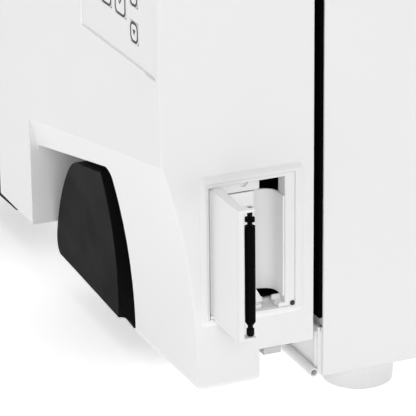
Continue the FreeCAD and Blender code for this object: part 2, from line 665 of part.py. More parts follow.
node(shaped("MotorGearShape", gear_shape(
    -31.0, DRIVING["frame_y"] + 20.0, DRIVING["frame_z"] + 28.0, 16, 0.6, 3.0, 1.0)), "drive_gear")

node(rod("StatusLight", 1.4, 5.4, (-4.0, light_at[0], light_at[1]), "x"), "status_light")

# The flap stands open at 90 degrees: its plate runs straight out along +X.
LOW = dim("flap_low")
HIGH = dim("flap_high")
LONG = dim("flap_long")


def flap_rim_shape():
    """The wall along the flap's upper edge, deeper at the hinge than at the free end."""
    y, top = DRIVING["flap_pin_y"] - 0.9, DRIVING["flap_low"] + DRIVING["flap_high"]
    free = DRIVING["flap_long"] - DRIVING["flap_pin_in"]
    profile = ((1.7, 0.0), (free, 0.0), (free, 3.6), (2.6, 6.3), (1.7, 5.4))
    points = [Vec(a, y + b, top - 1.6) for a, b in profile]
    return Part.Face(Part.makePolygon(points + points[:1])).extrude(Vec(0, 0, 1.6))


flap_plate = box("FlapPlate", (LONG - 4.2, 1.8, HIGH), (PIN_X + 4.2, PIN_Y - 0.9, LOW))
flap_neck = box("FlapNeck", (4.3, 1.8, HIGH - 3.0), (PIN_X, PIN_Y - 0.9, LOW + 2.3))
flap_edge = box("FlapEdge", (2.0, 3.6, HIGH - 1.5), (PIN_X + LONG - 2.0, PIN_Y - 0.9, LOW + 1.5))
flap_rim = shaped("FlapRimShape", flap_rim_shape())
bracket = (dim("bracket_long"), 10.4, 2.0)
bracket_top = box("BracketTop", bracket, (PIN_X + LONG - bracket[0], PIN_Y - 0.9, LOW + HIGH - 2.1))
bracket_low = box("BracketLow", bracket, (PIN_X + LONG - bracket[0], PIN_Y - 0.9, LOW))
flap_curl = rod("FlapCurl", 1.5, HIGH - 3.0, (PIN_X, PIN_Y, LOW + 2.3))
shaft_holes = rod("FlapShaftHoles", 1.6, HIGH + 4.0,
                  (dim("platen_out"), PIN_Y + dim("platen_fwd"), LOW - 2.0))
flap_pins = rod("FlapPins", 0.75, HIGH + 1.6, (PIN_X, PIN_Y, LOW + 0.2))
flap = cut("FlapCut", join("FlapSolid", flap_plate, flap_neck, flap_edge, flap_rim, bracket_top,
                           bracket_low, flap_curl), shaft_holes)
node(join("FlapBody", flap, flap_pins), "printer_flap")
PLATEN = (dim("platen_out"), PIN_Y + dim("platen_fwd"))
platen_rad = dim("platen_rad")
platen_long = dim("platen_long")
node(turned("PlatenRubber", [
    (1.5, 0.0), (platen_rad - 1.1, 0.0), (platen_rad, 1.7), (platen_rad, platen_long),
    (1.5, platen_long)], (PLATEN[0], PLATEN[1], LOW + 8.7), "front"), "platen_roller")
node(rod("PlatenShaft", 1.48, HIGH - 1.4, (PLATEN[0], PLATEN[1], LOW + 0.4)), "platen_shaft")
platen_gear = shaped("PlatenGearShape", gear_shape(
    DRIVING["platen_out"], DRIVING["flap_pin_y"] + DRIVING["platen_fwd"],
    DRIVING["flap_low"] + DRIVING["flap_high"] - 8.5, 14, 0.36, 2.3, 1.5))
platen_knob = tube("PlatenKnob", 2.2, 1.5, 3.3, (PLATEN[0], PLATEN[1], LOW + 2.8), "z")
node(group("PlatenGears", platen_gear, platen_knob), "platen_gear")
node(box("DoorBuffer", (9.0, 10.7, 4.1), (-9.5, 61.8, dim("side_low") - 4.2)), "door_buffer")


# ---------------------------------------------------------------- casing and base

case_deep = BACK - FRONT
outer = box("CasingOuter", (W, case_deep, TOP - FOOT), (-W, FRONT, FOOT))
outer = rounded("CasingRounded", outer, 10.0,
                lambda e: along("y")(e) and e.BoundBox.ZMin > DRIVING["case_top"] - 1.0)
inner = box("CasingInner", (W - 2.0 * SHEET, case_deep + 2.0, TOP - FOOT - SHEET + 1.0),
            (-(W - SHEET), FRONT - 1.0, FOOT - 1.0))
inner = rounded("CasingInnerRounded", inner, 8.5,
                lambda e: along("y")(e) and e.BoundBox.ZMin > DRIVING["case_top"] - 3.0)
lid_opening = box("LidOpening", (84.0, 205.0, 20.0), (-94.0, 199.0, TOP - 10.0))
vents = [
    box(f"CasingVent{i}", (20.0, 3.0, 60.0), (-(W + 5.0), 440.0 + 9.0 * i, 60.0))
    for i in range(12)
]
node(cut("CasingCover", outer, inner, lid_opening, *vents), "casing_cover")

FLOOR = FOOT + 0.2
tray_floor = box("TrayFloor", (W - 2.0 * SHEET - 0.4, BACK - 101.0, 2.0),
                 (-(W - SHEET - 0.2), 98.6, FLOOR))
tray_front = box("TrayFront", (W - 2.0 * SHEET - 0.4, 1.5, 28.0), (-(W - SHEET - 0.2), 96.6, FLOOR + 2.4))
tray_bend = rod("TrayBend", 3.0, W - 2.0 * SHEET - 0.4, (-(W - SHEET - 0.2), 99.6, FLOOR + 3.0), "x")
tray_sides = [
    box(f"TraySide{i}", (1.5, BACK - 101.0, 30.0), (x, 98.6, FLOOR))
    for i, x in enumerate((-(W - SHEET - 0.2), -(SHEET + 0.2) - 1.5))
]
hem = tube("FrontHem", dim("hem_rad"), dim("hem_rad") - 0.9, W - 3.4, (-(W - 1.7), 94.3, FLOOR + 2.3), "x")


def end_flange_shape(side):
    """The slanted strip that closes the tray's front wall at one end."""
    low = DRIVING["foot_high"] + 5.0
    points = [Vec(x, y, low) for x, y in ((-4.6, 97.1), (-4.6, 95.4), (-1.7, 98.2), (-1.7, 98.6),
                                          (-4.6, 98.6))]
    solid = Part.Face(Part.makePolygon(points + points[:1])).extrude(Vec(0, 0, 23.0))
    return solid.mirror(Vec(-DRIVING["case_w"] / 2.0, 0, 0), Vec(1, 0, 0)) if side else solid


flanges = [shaped(f"EndFlange{i}", end_flange_shape(i)) for i in (0, 1)]
node(join("BaseTray", tray_floor, tray_front, tray_bend, hem, *tray_sides, *flanges), "base_tray")

gasket_outer = box("GasketOuter", (W - 2.4, FRONT - 97.0, TOP - 54.0), (-(W - 1.2), 97.0, 52.6))
gasket_inner = box("GasketInner", (W - 30.0, 10.0, TOP - 80.0), (-(W - 15.0), 94.0, 65.6))
gasket_arms = [
    box(f"GasketArm{i}", (60.0, 10.0, dim("arm_high") + 4.0), (-(W + 1.0), 94.0, z - 2.0))
    for i, z in enumerate((dim("arm_low_z"), dim("arm_top_z")))
]
frame_seal = cut("GapGasket", gasket_outer, gasket_inner, *gasket_arms)
node(frame_seal, "front_gaskets")

bulk = box("Bulkhead", (W - 2.0 * SHEET - 0.6, 2.0, TOP - FLOOR - SHEET - 7.0),
           (-(W - SHEET - 0.3), FRONT + 0.2, FLOOR + 6.5))
bulk = rounded("BulkheadRounded", bulk, 8.2,
               lambda e: along("y")(e) and e.BoundBox.ZMin > DRIVING["case_top"] - 12.0)
bulk_hole = rod("BulkheadHole", dim("vessel_rad") + 11.0, 20.0, (MID, FRONT - 8.0, VESSEL_Z), "y")
bulk_locks = [
    rod(f"BulkheadLock{i}", 7.0, 20.0, (x, FRONT - 8.0, TOP - 30.0), "y")
    for i, x in enumerate((MID - 175.0, MID + 175.0))
]
bulk_sides = [
    box(f"BulkheadRelief{i}", (8.0, 10.0, 32.0), (x, FRONT - 3.0, FLOOR - 1.0))
    for i, x in enumerate((-(W + 1.0), -7.0))
]
FLANGE_PCD = dim("flange_rad") - 7.0
bolt_at = []
for i in range(8):
    angle = math.pi * (2 * i + 1) / 8.0
    bolt_at.append((MID + FLANGE_PCD * math.cos(angle), VESSEL_Z + FLANGE_PCD * math.sin(angle)))
bulk_bolts = [
    rod(f"BulkheadBolt{i}", 3.1, 20.0, (x, FRONT - 8.0, z), "y") for i, (x, z) in enumerate(bolt_at)
]
node(cut("FrontBulkhead", bulk, bulk_hole, *bulk_locks, *bulk_sides, *bulk_bolts),
     "front_bulkhead")
node(group("Feet", *[
    taper(f"Foot{i}", dim("foot_rad"), dim("foot_rad") + 0.6, FOOT + 0.1, (x, y, 0.0))
    for i, (x, y) in enumerate(((-25.0, 134.0), (-(W - 25.0), 134.0),
                                (-25.0, BACK - 35.0), (-(W - 25.0), BACK - 35.0)))
]), "feet")

arms = []
for i, z in enumerate((dim("arm_low_z"), dim("arm_top_z"))):
    arm = box(f"ArmBar{i}", (dim("arm_wide"), FRONT + 0.2 - HINGE_Y, dim("arm_high")),
              (HINGE_X - dim("arm_wide") / 2.0, HINGE_Y, z))
    eye = rod(f"ArmEye{i}", dim("arm_wide") / 2.0, dim("arm_high"), (HINGE_X, HINGE_Y, z))
    bore = rod(f"ArmBore{i}", dim("pin_rad") + dim("run_gap"), dim("arm_high") + 4.0,
               (HINGE_X, HINGE_Y, z - 2.0))
    arms.append(cut(f"HingeArm{i}", join(f"ArmSolid{i}", arm, eye), bore))
node(group("HingeArms", *arms), "hinge_arms")


# ---------------------------------------------------------------- pressure vessel

VESSEL_R = dim("vessel_rad")
VESSEL_T = dim("vessel_t")
long = dim("vessel_long")
flange_y = 96.0
ring = turned("FlangeRing", [
    (VESSEL_R, 0.0), (VESSEL_R + 10.6, 0.0), (VESSEL_R + 10.6, 5.6),
    (dim("flange_rad"), 5.6), (dim("flange_rad"), 17.0), (VESSEL_R, 17.0),
], (MID, flange_y, VESSEL_Z), "z")
flange_bolt_holes = [
    rod(f"FlangeBoltHole{i}", 3.1, 30.0, (x, flange_y, z), "y") for i, (x, z) in enumerate(bolt_at)
]
node(cut("VesselFlange", ring, *flange_bolt_holes), "vessel_flange")
node(turned("Vessel", [
    (VESSEL_R, 0.0), (VESSEL_R + VESSEL_T, 0.0), (VESSEL_R + VESSEL_T, long),
    (VESSEL_R * 0.8, long + 14.0), (VESSEL_R * 0.4, long + 20.0), (0.0, long + 22.0),
    (0.0, long + 22.0 - VESSEL_T), (VESSEL_R * 0.4, long + 20.0 - VESSEL_T),
    (VESSEL_R * 0.8 - 1.0, long + 14.0 - VESSEL_T), (VESSEL_R, long - 1.0),
], (MID, flange_y + 17.05, VESSEL_Z), "z"), "chamber")
bolts = []
for i, (x, z) in enumerate(bolt_at):
    shank = rod(f"BoltShank{i}", 3.0, 16.0, (x, FRONT + 0.2, z), "y")
    head = rod(f"BoltHead{i}", 5.0, 2.2, (x, FRONT - 2.0, z), "y")
    bolts.append(join(f"FlangeBolt{i}", shank, head))
node(group("FlangeBolts", *bolts), "flange_bolts")
node(tube("Insulation", VESSEL_R + VESSEL_T + 18.0, VESSEL_R + VESSEL_T + 0.1, 320.0,
          (MID, 126.0, VESSEL_Z), "y"), "insulation_jacket")

RACK = (180.0, 300.0, 150.0)
rack_x = MID - RACK[0] / 2.0
rack_z = VESSEL_Z - 84.0
rack_t = 1.5
rack_parts = []
for i, x in enumerate((rack_x, rack_x + RACK[0] - rack_t)):
    rack_parts.append(box(f"RackSide{i}", (rack_t, RACK[1], RACK[2]), (x, 125.0, rack_z)))
for i, y in enumerate((125.0, 410.0)):
    for j, z in enumerate((rack_z, rack_z + RACK[2] - rack_t)):
        rack_parts.append(box(f"RackTie{i}{j}", (RACK[0] - 2.0 * rack_t, 15.0, rack_t),
                              (rack_x + rack_t, y, z)))
TRAYS = 4
TRAY_STEP = 36.0
for i in range(TRAYS):
    for j, x in enumerate((rack_x + rack_t, rack_x + RACK[0] - rack_t - 10.0)):
        rack_parts.append(box(f"RackRail{i}{j}", (10.0, RACK[1], rack_t),
                              (x, 125.0, rack_z + 8.0 + TRAY_STEP * i)))
node(group("TrayRack", *rack_parts), "tray_rack")
trays = []
for i in range(TRAYS):
    z = rack_z + 9.6 + TRAY_STEP * i
    pan = box(f"TrayPan{i}", (RACK[0] - 7.0, 284.0, 17.0), (rack_x + 3.5, 131.0, z))
    hollow = box(f"TrayHollow{i}", (RACK[0] - 9.0, 282.0, 17.0), (rack_x + 4.5, 132.0, z + 1.0))
    trays.append(cut(f"Tray{i}", pan, hollow))
node(group("Trays", *trays), "instrument_trays")


# ---------------------------------------------------------------- water, steam and vacuum

def tank(name, x, y, z, size, mouth):
    """An open-topped moulded tank with a filling mouth."""
    body = box(name + "Body", size, (x, y, z))
    hollow = box(name + "Hollow", (size[0] - 6.0, size[1] - 6.0, size[2] - 6.0),
                 (x + 3.0, y + 3.0, z + 3.0))
    hole = box(name + "Mouth", (mouth, mouth * 2.0, 20.0),
               (x + (size[0] - mouth) / 2.0, y + 60.0, z + size[2] - 10.0))
    return cut(name, body, hollow, hole)


TANK = (90.0, 290.0, 130.0)
node(group("WaterTanks", tank("CleanTank", -99.0, 140.0, 268.0, TANK, 60.0),
           tank("WasteTank", -491.0, 140.0, 268.0, TANK, 60.0)), "water_tanks")
lid_y = 205.0
lid_z = TOP - 6.2
lid = box("LidPlate", (83.0, 201.7, 2.0), (-93.5, 201.8, TOP - 2.1))
lid_grip = rod("LidGrip", 12.0, 6.0, (-52.0, 384.0, TOP - 0.8))
lid_barrel = rod("LidBarrel", 2.5, 60.0, (-83.0, lid_y, lid_z), "x")
lid_neck = box("LidNeck", (60.0, 2.4, 4.4), (-83.0, lid_y - 1.2, lid_z))
lid_bore = rod("LidBore", 1.55, 70.0, (-88.0, lid_y, lid_z), "x")
node(cut("TankLid", join("TankLidSolid", lid, lid_barrel, lid_neck), lid_grip, lid_bore), "tank_lid")
hinge_pin = rod("LidPin", 1.5, 74.0, (-90.0, lid_y, lid_z), "x")
ears = []
for i, x in enumerate((-90.0, -19.0)):
    eye = rod(f"LidEarEye{i}", 3.6, 3.0, (x, lid_y, lid_z), "x")
    leg = box(f"LidEarLeg{i}", (3.0, 7.2, 7.6), (x, lid_y - 3.6, lid_z - 7.6))
    tab = box(f"LidEarTab{i}", (3.0, 20.6, 1.4), (x, 188.0, lid_z - 7.6))
    riser = box(f"LidEarRiser{i}", (3.0, 9.9, 12.2), (x, 188.0, lid_z - 7.6))
    bore = rod(f"LidEarBore{i}", 1.52, 5.0, (x - 1.0, lid_y, lid_z), "x")
    ears.append(cut(f"LidEarCut{i}", join(f"LidEar{i}", eye, leg, tab, riser), bore))
node(group("LidHinge", *ears, hinge_pin), "lid_hinge")

pump_motor = rod("PumpMotor", 36.0, 120.0, (-445.0, 160.0, 78.0), "y")
pump_head = box("PumpHead", (80.0, 60.0, 80.0), (-485.0, 100.0 + 180.1, 36.0))
pump_feet = box("PumpFeet", (80.0, 160.0, 20.0), (-485.0, 170.0, FLOOR + 2.05))
node(join("VacuumPump", pump_motor, pump_head, pump_feet), "vacuum_pump")
steam_body = rod("SteamBody", 38.0, 150.0, (-52.0, 160.0, 80.0), "y")
steam_caps = [
    rod(f"SteamCap{i}", 42.0, 5.0, (-52.0, y, 80.0), "y") for i, y in enumerate((155.0, 310.0))
]
steam_foot = box("SteamFoot", (60.0, 120.0, 30.0), (-82.0, 175.0, FLOOR + 2.05))
node(join("SteamGenerator", steam_body, steam_foot, *steam_caps), "steam_generator")
water_pump = rod("WaterPumpBody", 22.0, 60.0, (-180.0, 180.0, 46.0), "y")
water_head = box("WaterPumpHead", (40.0, 30.0, 44.0), (-200.0, 239.9, FLOOR + 2.05))
water_foot = box("WaterPumpFoot", (40.0, 50.0, 16.0), (-200.0, 185.0, FLOOR + 2.05))
node(join("WaterPump", water_pump, water_head, water_foot), "water_pump")
valves = []
for i in range(4):
    body = box(f"ValveBody{i}", (26.0, 30.0, 24.0), (-330.0 + 34.0 * i, 484.0, 260.0))
    coil = rod(f"ValveCoil{i}", 11.0, 32.0, (-317.0 + 34.0 * i, 499.0, 283.9))
    valves.append(join(f"Valve{i}", body, coil))
node(group("SolenoidValves", *valves), "solenoid_valves")
node(turned("SafetyValve", [
    (3.0, 0.0), (7.0, 0.0), (7.0, 14.0), (11.0, 14.0), (11.0, 26.0), (8.0, 30.0),
    (8.0, 52.0), (5.0, 56.0), (3.0, 56.0),
], (-230.0, 500.0, 320.0), "front"), "safety_valve")
node(taper("BacteriaFilter", 24.0, 20.0, 34.0, (-150.0, BACK - 22.0, 340.0), "y"), "bacteria_filter")

core = box("CondenserCore", (150.0, 30.0, 130.0), (-470.0, 500.0, 60.0))
fins = [
    box(f"FinGap{i}", (160.0, 24.0, 1.6), (-475.0, 497.0, 66.0 + 6.0 * i)) for i in range(20)
]
node(cut("Condenser", core, *fins), "condenser")

FAN = (-395.0, 125.0)
hub = rod("FanHub", 16.0, 18.0, (FAN[0], 550.0, FAN[1]), "y")
blade_list = []
for i in range(7):
    blade = doc.addObject("Part::Box", f"FanBlade{i}")
    bind(blade, "Length", 34.0)
    bind(blade, "Width", 2.0)
    bind(blade, "Height", 14.0)
    turn = FreeCAD.Rotation(Vec(0, 1, 0), 360.0 * i / 7.0) * FreeCAD.Rotation(Vec(1, 0, 0), 40.0)
    blade.Placement = FreeCAD.Placement(Vec(), turn)
    arm = turn.multVec(Vec(14.0, -1.0, -7.0))
    for letter, corner, value in zip("xyz", (dim("corner_x"), dim("corner_y"), 0.0),
                                     (FAN[0] + arm.x, 559.0 + arm.y, FAN[1] + arm.z)):
        bind(blade, f"Placement.Base.{letter}", corner + value)
    blade_list.append(blade)
fan_bore = rod("FanBore", 2.05, 14.0, (FAN[0], 549.0, FAN[1]), "y")
node(cut("FanRotor", join("FanRotorSolid", hub, *blade_list), fan_bore), "fan_rotor")
fan_box = box("FanBox", (116.0, 30.0, 116.0), (FAN[0] - 58.0, 546.0, FAN[1] - 58.0))
fan_hole = rod("FanHole", 53.0, 40.0, (FAN[0], 540.0, FAN[1]), "y")
struts = [
    box("FanStrutA", (108.0, 3.0, 5.0), (FAN[0] - 54.0, 546.0, FAN[1] - 2.5)),
    box("FanStrutB", (5.0, 3.0, 108.0), (FAN[0] - 2.5, 546.0, FAN[1] - 54.0)),
]
fan_axle = rod("FanAxle", 2.0, 14.0, (FAN[0], 547.0, FAN[1]), "y")
node(join("FanFrame", cut("FanShell", fan_box, fan_hole), *struts, fan_axle), "fan_frame")


# ---------------------------------------------------------------- electrics and rear panel

rear = box("RearPlate", (W - 2.0 * SHEET - 0.6, 2.0, TOP - FLOOR - SHEET - 2.6),
           (-(W - SHEET - 0.3), BACK - 2.4, FLOOR + 2.1))
rear = rounded("RearRounded", rear, 8.2,
               lambda e: along("y")(e) and e.BoundBox.ZMin > DRIVING["case_top"] - 12.0)
rear_cuts = [
    rod("RearFanHole", 52.0, 20.0, (FAN[0], BACK - 10.0, FAN[1]), "y"),
    box("RearInletHole", (28.4, 20.0, 22.4), (-74.2, BACK - 10.0, 51.8)),
    box("RearSwitchHole", (22.4, 20.0, 28.4), (-121.2, BACK - 10.0, 48.8)),
    rod("RearFilterHole", 26.0, 20.0, (-150.0, BACK - 10.0, 340.0), "y"),
]
for i, x in enumerate((-250.0, -210.0)):
    rear_cuts.append(rod(f"RearDrainHole{i}", 6.1, 20.0, (x, BACK - 10.0, 60.0), "y"))
for i, x in enumerate((-160.0, -140.0)):
    rear_cuts.append(rod(f"RearFuseHole{i}", 6.1, 20.0, (x, BACK - 10.0, 62.0), "y"))
for i, x in enumerate((-(W + 1.0), -7.0)):
    rear_cuts.append(box(f"RearRelief{i}", (8.0, 10.0, 32.0), (x, BACK - 5.0, FLOOR - 1.0)))
screw_at = [(-(W - 14.0), 200.0), (-14.0, 200.0), (-(W - 14.0), 380.0), (-14.0, 380.0),
            (MID, 400.0), (MID - 120.0, 400.0), (MID + 120.0, 400.0)]
for i, (x, z) in enumerate(screw_at):
    rear_cuts.append(rod(f"RearScrewHole{i}", 2.1, 20.0, (x, BACK - 10.0, z), "y"))
node(cut("RearPanel", rear, *rear_cuts), "rear_panel")
node(group("RearScrews", *[
    join(f"RearScrew{i}", rod(f"ScrewShank{i}", 2.0, 8.0, (x, BACK - 8.0, z), "y"),
         rod(f"ScrewHead{i}", 4.0, 2.2, (x, BACK - 0.35, z), "y"))
    for i, (x, z) in enumerate(screw_at)
]), "rear_screws")
rings = [torus(f"GuardRing{i}", 12.0 + 12.0 * i, 0.9, (FAN[0], BACK + 1.2, FAN[1]), "y")
         for i in range(4)]
spokes = []
for i in range(2):
    off = -5.0 + 10.0 * i
    spokes.append(rod(f"GuardSpokeX{i}", 1.0, 112.0,
                      (FAN[0] - 56.0, BACK + 1.2, FAN[1] + off), "x"))
    spokes.append(rod(f"GuardSpokeZ{i}", 1.0, 112.0,
                      (FAN[0] + off, BACK + 1.2, FAN[1] - 56.0), "z"))
node(join("FanGuard", *rings, *spokes), "fan_guard")
inlet = box("InletBody", (28.0, 26.0, 22.0), (-74.0, BACK - 26.0, 52.0))
inlet_face = box("InletFace", (48.0, 3.0, 28.0), (-84.0, BACK - 0.3, 49.0))
inlet_well = box("InletWell", (24.0, 20.0, 17.0), (-72.0, BACK - 16.0, 54.5))
blades = [
    box(f"InletPin{i}", (w, 13.0, t), (x, BACK - 16.2, z))
    for i, (x, z, w, t) in enumerate(((-68.0, 59.0, 2.0, 4.0), (-54.0, 59.0, 2.0, 4.0),
                                      (-61.0, 64.0, 2.0, 4.0)))
]
inlet_shell = cut("InletShell", join("InletSolid", inlet, inlet_face), inlet_well)
node(join("MainsInlet", inlet_shell, *blades), "mains_inlet")
switch_body = box("SwitchBody", (22.0, 22.0, 28.0), (-121.0, BACK - 22.0, 49.0))
switch_face = box("SwitchFace", (26.0, 2.5, 32.0), (-123.0, BACK - 0.3, 47.0))
switch_well = box("SwitchWell", (19.0, 22.0, 25.0), (-119.5, BACK - 17.0, 50.5))
switch_pin = rod("SwitchPin", 1.5, 22.0, (-121.0, BACK - 6.0, 63.0), "x")
node(join("SwitchShell", cut("SwitchCut", join("SwitchSolid", switch_body, switch_face),
     switch_well), switch_pin), "switch_housing")
rocker = plate("RockerBody", [
    (0.0, 6.0), (4.0, 3.0), (11.5, 0.6), (19.0, 0.6 + 2.4), (23.0, 6.0), (20.0, 12.5), (11.5, 10.5),
    (3.0, 14.5),
], 18.4, (-119.2, BACK - 12.0, 51.5), "side")
rocker_bore = rod("RockerBore", 1.55, 30.0, (-125.0, BACK - 6.0, 63.0), "x")
node(cut("Rocker", rocker, rocker_bore), "power_rocker")
fuses = []
for i, x in enumerate((-160.0, -140.0)):
    fuses.append(join(f"Fuse{i}", rod(f"FuseBody{i}", 6.0, 34.0, (x, BACK - 34.0, 62.0), "y"),
                      rod(f"FuseCap{i}", 8.0, 6.0, (x, BACK - 0.3, 62.0), "y")))
node(group("FuseHolders", *fuses), "fuse_holders")
drains = []
for i, x in enumerate((-250.0, -210.0)):
    stem = turned(f"DrainStem{i}", [(2.5, 0.0), (6.0, 0.0), (6.0, 20.1), (9.0, 20.1), (9.0, 25.0),
                                    (5.0, 25.0), (5.0, 34.0), (2.5, 34.0)],
                  (x, BACK - 20.0, 60.0), "z")
    drains.append(stem)
node(group("DrainPorts", *drains), "drain_ports")
parts_on_board = [box("MainBoard", (170.0, 1.6, 150.0), (-200.0, 546.0, 110.0))]
for i in range(3):
    for j in range(2):
        parts_on_board.append(box(f"Relay{i}{j}", (28.0, 16.0, 20.0),
                                  (-190.0 + 36.0 * i, 530.1, 124.0 + 30.0 * j)))
for i in range(3):
    parts_on_board.append(rod(f"Capacitor{i}", 8.0, 24.0, (-60.0, 522.1, 130.0 + 22.0 * i), "y"))
supply = box("PowerSupply", (120.0, 60.0, 46.0), (-190.0, 480.0, FLOOR + 2.05))
node(group("Electronics", join("BoardParts", *parts_on_board), supply), "electronics")

# Motor-driven bolts that lock the closed door while a cycle runs; shown withdrawn.
locks = []
for i, x in enumerate((MID - 175.0, MID + 175.0)):
    locks.append(rod(f"LockBolt{i}", 6.0, 34.0, (x, FRONT - 1.8, TOP - 30.0), "y"))
lock_bar = box("LockBar", (362.0, 4.0, 10.0), (MID - 181.0, FRONT + 28.2, TOP - 35.0))
node(join("LockBolts", lock_bar, *locks), "lock_bolts")


# ---------------------------------------------------------------- check and write

doc.recompute()
for obj in doc.Objects:
    bad = [s for s in obj.State if s in ("Invalid", "Error")]
    if bad:
        raise RuntimeError(f"{obj.Name} failed: {obj.State}")
os.makedirs("parts", exist_ok=True)
for obj in nodes:
    if obj.Shape.isNull() or not obj.Shape.isValid() or not obj.Shape.Solids:
        raise RuntimeError(f"{obj.Label} has no valid solid")
    obj.Shape.exportStep(f"parts/{obj.Label}.step")
print(len(nodes), "sub-parts written")
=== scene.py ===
"""Looks of the benchtop steam autoclave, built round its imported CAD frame."""

import json
import math

import bmesh
import bpy
from mathutils import Matrix, Vector

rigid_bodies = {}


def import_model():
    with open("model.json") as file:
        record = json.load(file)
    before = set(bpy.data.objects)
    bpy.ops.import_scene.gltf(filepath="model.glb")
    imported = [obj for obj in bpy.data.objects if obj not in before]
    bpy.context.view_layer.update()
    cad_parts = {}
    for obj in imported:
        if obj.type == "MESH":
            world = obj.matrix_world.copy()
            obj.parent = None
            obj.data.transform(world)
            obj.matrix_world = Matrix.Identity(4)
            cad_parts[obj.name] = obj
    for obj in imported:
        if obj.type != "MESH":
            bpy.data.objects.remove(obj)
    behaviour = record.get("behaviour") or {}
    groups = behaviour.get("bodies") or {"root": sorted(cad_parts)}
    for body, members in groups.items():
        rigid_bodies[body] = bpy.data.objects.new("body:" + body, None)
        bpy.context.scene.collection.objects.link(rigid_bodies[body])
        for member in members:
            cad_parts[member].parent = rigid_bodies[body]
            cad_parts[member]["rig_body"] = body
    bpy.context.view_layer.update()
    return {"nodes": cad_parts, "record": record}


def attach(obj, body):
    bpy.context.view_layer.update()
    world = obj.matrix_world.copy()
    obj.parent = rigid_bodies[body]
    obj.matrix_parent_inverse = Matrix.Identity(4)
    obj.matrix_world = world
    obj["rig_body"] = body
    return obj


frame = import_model()
NODES = frame["nodes"]
BODY_OF = {n: o["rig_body"] for n, o in NODES.items()}
SLOT_OF = {row["node"]: row["material_slot"] for row in frame["record"]["subparts"]}
CORNER = Vector((0.2306, -0.300, 0.0))
COLLECTION = bpy.context.scene.collection


def at(x, y, z):
    """A point given in millimetres from the right side, the front face and the table."""
    return CORNER + Vector((x, y, z)) * 0.001


# ---------------------------------------------------------------- materials

class Tree:
    """Short calls for building a node material."""

    def __init__(self, name):
        self.material = bpy.data.materials.new(name)
        self.material.use_nodes = True
        self.nodes = self.material.node_tree.nodes
        self.links = self.material.node_tree.links
        self.shader = self.nodes["Principled BSDF"]
        self.coords = self.nodes.new("ShaderNodeTexCoord").outputs["Object"]

    def node(self, kind, **inputs):
        made = self.nodes.new(kind)
        for key, value in inputs.items():
            self.feed(made.inputs[key.replace("_", " ")], value)
        return made

    def feed(self, socket, value):
        if isinstance(value, bpy.types.NodeSocket):
            self.links.new(value, socket)
        else:
            socket.default_value = value

    def stretched(self, scale):
        return self.node("ShaderNodeMapping", Vector=self.coords, Scale=scale).outputs["Vector"]

    def noise(self, scale, detail=3.0, stretch=None, rough=0.5):
        source = self.stretched(stretch) if stretch else self.coords
        made = self.node("ShaderNodeTexNoise", Vector=source, Scale=scale, Detail=detail,
                         Roughness=rough)
        return made.outputs["Fac"]

    def spread(self, value, low, high, start=0.3, end=0.7):
        """Map a value from start..end to low..high."""
        made = self.nodes.new("ShaderNodeMapRange")
        self.feed(made.inputs["Value"], value)
        made.inputs["From Min"].default_value = start
        made.inputs["From Max"].default_value = end
        made.inputs["To Min"].default_value = low
        made.inputs["To Max"].default_value = high
        return made.outputs["Result"]

    def math(self, kind, a, b):
        made = self.nodes.new("ShaderNodeMath")
        made.operation = kind
        self.feed(made.inputs[0], a)
        self.feed(made.inputs[1], b)
        return made.outputs[0]

    def mix(self, share, a, b):
        made = self.nodes.new("ShaderNodeMix")
        made.data_type = "RGBA"
        self.feed(made.inputs["Factor"], share)
        self.feed(made.inputs["A"], a)
        self.feed(made.inputs["B"], b)
        return made.outputs["Result"]

    def edge_share(self, radius, gain=3.0):
        """How near a sharp edge a point is, 0 to 1, and the rounded normal there."""
        bevel = self.nodes.new("ShaderNodeBevel")
        bevel.samples = 4
        bevel.inputs["Radius"].default_value = radius
        flat = self.nodes.new("ShaderNodeNewGeometry").outputs["Normal"]
        dot = self.nodes.new("ShaderNodeVectorMath")
        dot.operation = "DOT_PRODUCT"
        self.links.new(bevel.outputs["Normal"], dot.inputs[0])
        self.links.new(flat, dot.inputs[1])
        share = self.spread(dot.outputs["Value"], 1.0, 0.0, 1.0 - 1.0 / gain, 1.0)
        return share, bevel.outputs["Normal"]

    def bump(self, height, distance, strength, normal=None):
        made = self.node("ShaderNodeBump", Height=height, Distance=distance, Strength=strength)
        if normal is not None:
            self.links.new(normal, made.inputs["Normal"])
        return made.outputs["Normal"]


def shade(color, factor):
    return (color[0] * factor, color[1] * factor, color[2] * factor, 1.0)


def finish_of(name, color, rough, metallic=0.0, specular=0.5, tint=0.02, tint_scale=9.0,
              grain=900.0, grain_deep=0.00002, grain_strength=0.25, rough_spread=0.06,
              edge=0.0006, wear=0.03, stretch=None, coat=0.0, coat_rough=0.1, transmission=0.0):
    """A surface: broad colour drift, fine grain, uneven gloss and slightly worn edges."""
    t = Tree(name)
    color = (*color, 1.0)
    broad = t.spread(t.noise(tint_scale, 4.0), 0.0, 1.0)
    body = t.mix(broad, shade(color, 1.0 - tint), shade(color, 1.0 + tint * 0.5))
    fine = t.noise(grain, 3.0, stretch)
    body = t.mix(t.spread(fine, 0.0, tint * 0.8), body, shade(color, 0.9))
    normal = None
    if edge:
        share, normal = t.edge_share(edge)
        worn = shade(color, 0.62 if metallic < 0.5 else 1.25)
        body = t.mix(t.math("MULTIPLY", share, wear), body, worn)
    t.feed(t.shader.inputs["Base Color"], body)
    smudge = t.noise(tint_scale * 4.0, 5.0)
    gloss = t.math("ADD", t.spread(smudge, rough - rough_spread, rough + rough_spread),
                   t.spread(fine, -0.02, 0.02))
    t.feed(t.shader.inputs["Roughness"], gloss)
    t.feed(t.shader.inputs["Normal"], t.bump(fine, grain_deep, grain_strength, normal))
    t.shader.inputs["Metallic"].default_value = metallic
    t.shader.inputs["Specular IOR Level"].default_value = specular
    t.shader.inputs["Coat Weight"].default_value = coat
    t.shader.inputs["Coat Roughness"].default_value = coat_rough
    t.shader.inputs["Transmission Weight"].default_value = transmission
    return t.material


